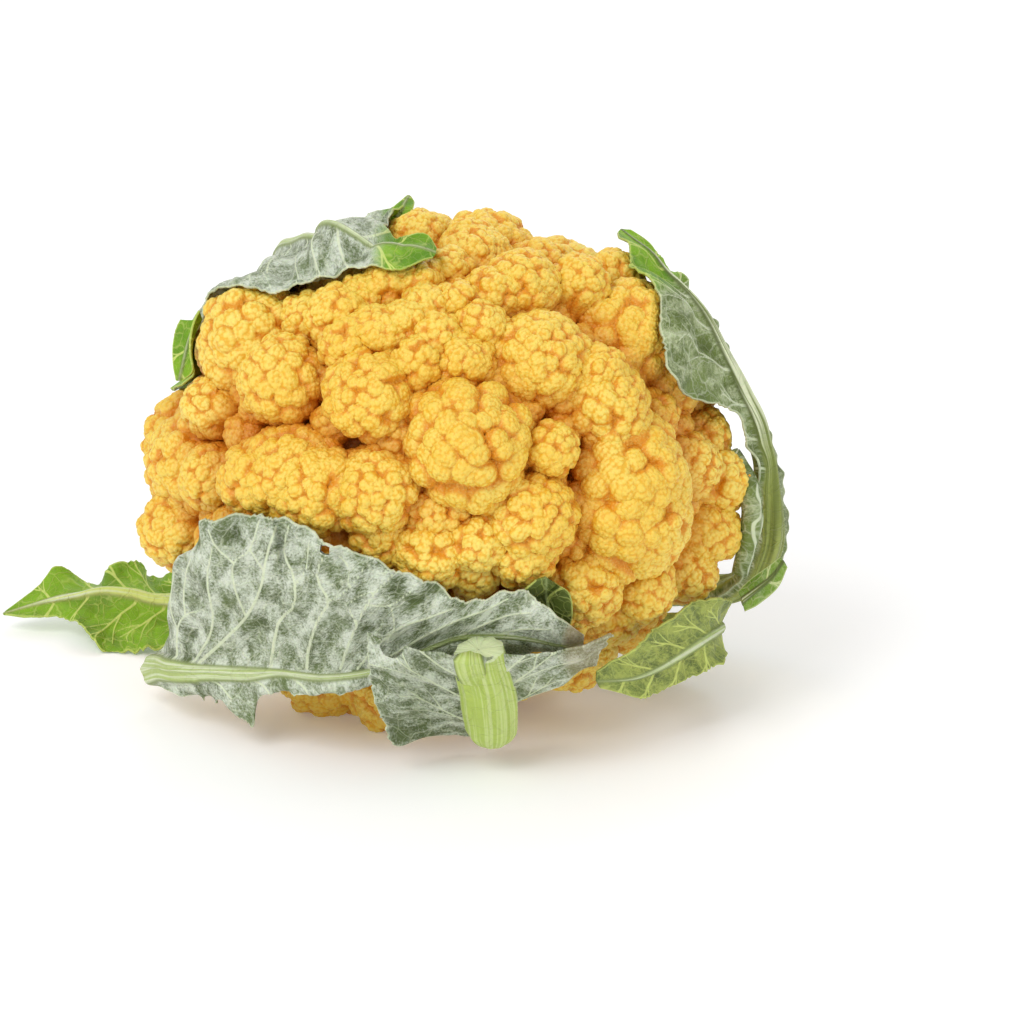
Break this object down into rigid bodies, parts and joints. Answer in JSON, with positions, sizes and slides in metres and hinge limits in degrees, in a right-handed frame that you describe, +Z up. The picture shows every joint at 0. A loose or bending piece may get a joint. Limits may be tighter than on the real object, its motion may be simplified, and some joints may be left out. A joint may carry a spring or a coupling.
{
  "type": "cauliflower",
  "caption": "Orange cauliflower head lying with its domed curd to the front, wrapped by waved grey-green and green leaves.",
  "frame": {"origin": "on the floor, at the middle of the flat spot under the curd that the head lies on", "axes": "+Z up; the curd's domed front looks along -Y and leans back; +X to the right as seen from the front"},
  "size_m": [0.2481, 0.1728, 0.1525],
  "materials": {
    "curd": "matt, finely granular",
    "pale_flesh": "moist matt",
    "green_leaf": "satin",
    "grey_green_leaf": "matt with a waxy bloom",
    "dark_green_leaf": "satin"
  },
  "bodies": {
    "root": {"curd": "curd", "stalk": "pale_flesh", "leaf_right": "green_leaf", "leaf_top_left": "grey_green_leaf", "leaf_left": "green_leaf", "leaf_low_right": "green_leaf", "leaf_front": "grey_green_leaf", "leaf_front_cut": "grey_green_leaf", "leaf_small_tip": "dark_green_leaf", "petiole_stub_1": "pale_flesh", "petiole_stub_2": "pale_flesh", "petiole_stub_3": "pale_flesh"}
  },
  "joints": []
}
